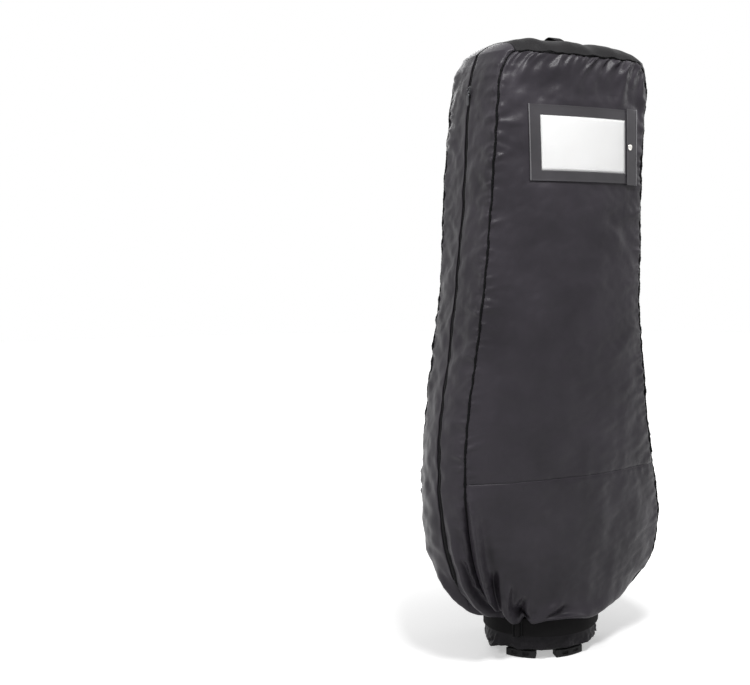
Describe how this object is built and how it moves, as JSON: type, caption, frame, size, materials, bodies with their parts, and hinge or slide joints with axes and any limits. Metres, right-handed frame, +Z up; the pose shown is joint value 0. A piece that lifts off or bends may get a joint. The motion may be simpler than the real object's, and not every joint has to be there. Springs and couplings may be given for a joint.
{
  "type": "golf travel case",
  "caption": "Soft nylon travel cover zipped over a golf bag, with a hand slot, a clear card pocket with a snap flap, corded seams and a webbing belt that cinches its foot.",
  "frame": {"origin": "on the ground below the middle of the object, at the lowest point of the bag's feet", "axes": "+Z up, -Y the broad side with the card pocket, -X the side with the zip, +X the side with the hand slot"},
  "size_m": [0.5454, 0.292, 1.2896],
  "materials": {
    "cover_nylon": "charcoal nylon taffeta with a soft sheen",
    "top_nylon": "near-black plain weave",
    "piping": "black covered cord",
    "webbing": "black woven webbing",
    "zip_tape": "woven zip tape",
    "zip_coil": "black nylon coil",
    "zip_metal": "gunmetal enamel",
    "pocket_vinyl": "smooth black vinyl",
    "clear_vinyl": "clear flexible sheet",
    "card": "plain white card",
    "snap_metal": "nickel plated",
    "buckle": "moulded black acetal",
    "bag_plastic": "moulded black plastic",
    "bag_rubber": "moulded rubber feet",
    "bag_fabric": "dark woven polyester",
    "grip": "grey-green foam grip",
    "red_piping": "red edge cord"
  },
  "bodies": {
    "cover": {"front_panel": "cover_nylon", "front_lower_panel": "cover_nylon", "back_panel": "cover_nylon", "back_lower_panel": "cover_nylon", "zip_side_front": "cover_nylon", "zip_side_rear": "cover_nylon", "slot_side_front": "cover_nylon", "slot_side_rear": "cover_nylon", "top_panel": "top_nylon", "zip_side_top": "cover_nylon", "slot_side_top": "cover_nylon", "hem_skirt": "top_nylon", "front_piping": "piping", "back_piping": "piping", "slot_binding_front": "webbing", "slot_binding_rear": "webbing", "slot_tab_upper": "webbing", "slot_tab_lower": "webbing", "zip_tape_front": "zip_tape", "zip_tape_rear": "zip_tape", "zip_coil": "zip_coil", "zip_stop_top": "zip_metal", "zip_stop_bottom": "zip_metal", "id_frame": "pocket_vinyl", "id_window": "clear_vinyl", "id_card": "card", "id_snap_stud": "snap_metal", "id_flap_base": "pocket_vinyl", "top_handle": "webbing", "base_belt": "webbing", "belt_tail": "webbing", "belt_buckle": "buckle", "bag_base": "bag_plastic", "bag_feet": "bag_rubber", "bag_tube": "bag_fabric", "bag_cuff": "bag_plastic", "bag_divider": "bag_plastic", "bag_pocket_zip_side": "bag_fabric", "bag_pocket_slot_side": "bag_fabric", "bag_handle": "grip", "bag_handle_strap": "webbing", "bag_handle_piping": "red_piping", "bag_handle_anchors": "bag_plastic"},
    "slider": {"zip_slider": "zip_metal"},
    "pull": {"zip_pull": "zip_metal"},
    "flap": {"id_flap": "pocket_vinyl", "id_snap_cap": "snap_metal"}
  },
  "joints": [
    {"name": "zip_slide", "type": "slide", "parent": "cover", "child": "slider", "axis": [-0.0857, 0, -0.9963], "range_m": [0, 0.4]},
    {"name": "pull_swing", "type": "hinge", "parent": "slider", "child": "pull", "pos_m": [-0.17314, 0, 1.16846], "axis": [0, 1, 0], "range_deg": [0, 150]},
    {"name": "flap_open", "type": "hinge", "parent": "cover", "child": "flap", "pos_m": [0.1515, -0.12821, 1.06], "axis": [-0.003, 0.0047, 1], "range_deg": [0, 150]}
  ]
}
